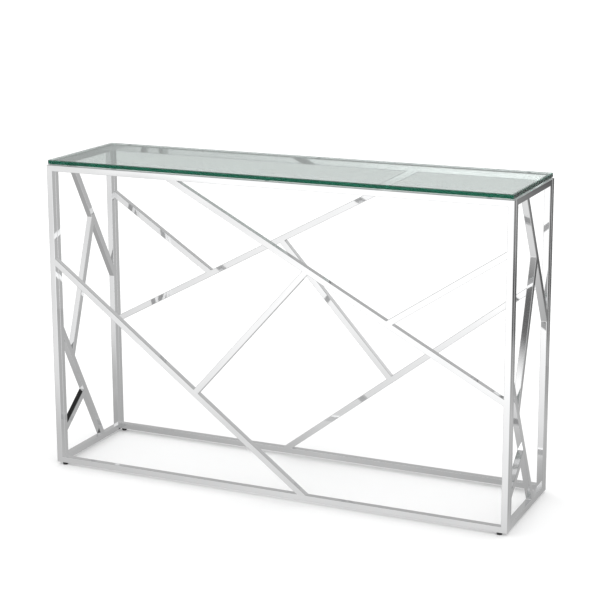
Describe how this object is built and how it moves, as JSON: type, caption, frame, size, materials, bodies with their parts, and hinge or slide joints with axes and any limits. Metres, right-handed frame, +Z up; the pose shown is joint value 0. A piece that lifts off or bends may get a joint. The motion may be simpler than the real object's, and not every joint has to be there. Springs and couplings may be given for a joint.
{
  "type": "console table",
  "caption": "Slim console table: polished square-tube frame with slanting lattice bars on all sides and a clear glass top on low round feet.",
  "frame": {"origin": "centre of the footprint, on the floor plane under the feet", "axes": "+X along the long side, to the right seen from the front; +Y from front to back; +Z up"},
  "size_m": [1.2, 0.31, 0.7886],
  "materials": {
    "polished_steel": "mirror-polished stainless steel",
    "clear_glass": "clear float glass with a green edge, ground arrises",
    "clear_pad": "clear soft plastic",
    "black_plastic": "matt black plastic",
    "zinc_plated_steel": "zinc-plated steel"
  },
  "bodies": {
    "root": {"back_bottom_rail": "polished_steel", "back_gentle_bar": "polished_steel", "back_link_bar": "polished_steel", "back_short_bar": "polished_steel", "back_steep_bar": "polished_steel", "back_top_rail": "polished_steel", "back_upright_left": "polished_steel", "back_upright_right": "polished_steel", "foot_back_left": "black_plastic", "foot_back_right": "black_plastic", "foot_front_left": "black_plastic", "foot_front_right": "black_plastic", "front_bottom_rail": "polished_steel", "front_gentle_bar": "polished_steel", "front_link_bar": "polished_steel", "front_short_bar": "polished_steel", "front_steep_bar": "polished_steel", "front_top_rail": "polished_steel", "front_upright_left": "polished_steel", "front_upright_right": "polished_steel", "glass_top": "clear_glass", "left_end_bottom_rail": "polished_steel", "left_end_lower_bar": "polished_steel", "left_end_middle_bar": "polished_steel", "left_end_prop_bar": "polished_steel", "left_end_top_rail": "polished_steel", "left_end_upper_bar": "polished_steel", "left_end_upright_back": "polished_steel", "left_end_upright_front": "polished_steel", "pad_back_left": "clear_pad", "pad_back_middle": "clear_pad", "pad_back_right": "clear_pad", "pad_front_left": "clear_pad", "pad_front_middle": "clear_pad", "pad_front_right": "clear_pad", "right_end_bottom_rail": "polished_steel", "right_end_lower_bar": "polished_steel", "right_end_middle_bar": "polished_steel", "right_end_prop_bar": "polished_steel", "right_end_top_rail": "polished_steel", "right_end_upper_bar": "polished_steel", "right_end_upright_back": "polished_steel", "right_end_upright_front": "polished_steel", "rivet_nut_back_left": "zinc_plated_steel", "rivet_nut_back_right": "zinc_plated_steel", "rivet_nut_front_left": "zinc_plated_steel", "rivet_nut_front_right": "zinc_plated_steel"}
  },
  "joints": []
}
